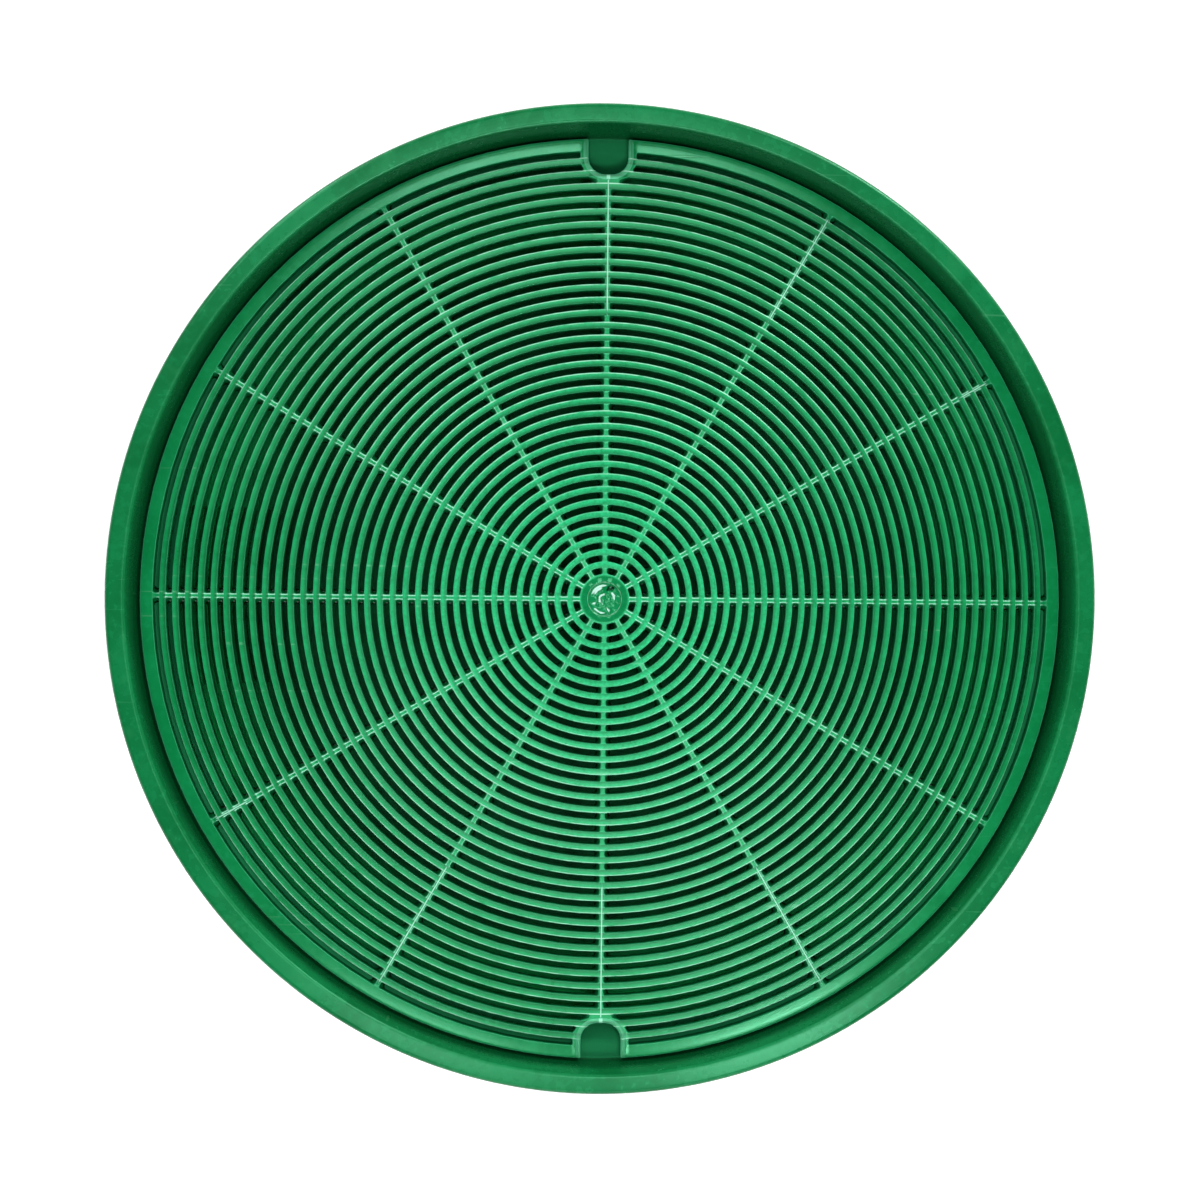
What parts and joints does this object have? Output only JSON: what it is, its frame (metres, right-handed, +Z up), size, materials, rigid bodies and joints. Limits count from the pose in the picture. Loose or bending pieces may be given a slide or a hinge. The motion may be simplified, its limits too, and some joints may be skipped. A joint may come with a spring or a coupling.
{
  "type": "gold pan",
  "caption": "Round green plastic gold pan with a sloped panning wall, riffles, and a lift-out slotted sieve disc lying on a ledge under the rim.",
  "frame": {"origin": "centre of the pan's base, on the surface that it stands on", "axes": "+Z up along the pan's axis, +Y towards one thumb notch of the sieve, -X towards the riffle bank"},
  "size_m": [0.356, 0.356, 0.064],
  "materials": {
    "pan_plastic": "satin",
    "sieve_plastic": "satin"
  },
  "bodies": {
    "pan": {"pan_body": "pan_plastic"},
    "sieve": {"sieve_insert": "sieve_plastic"}
  },
  "joints": [
    {"name": "sieve_lift", "type": "slide", "parent": "pan", "child": "sieve", "axis": [0, 0, 1], "range_m": [0, 0.08]}
  ]
}
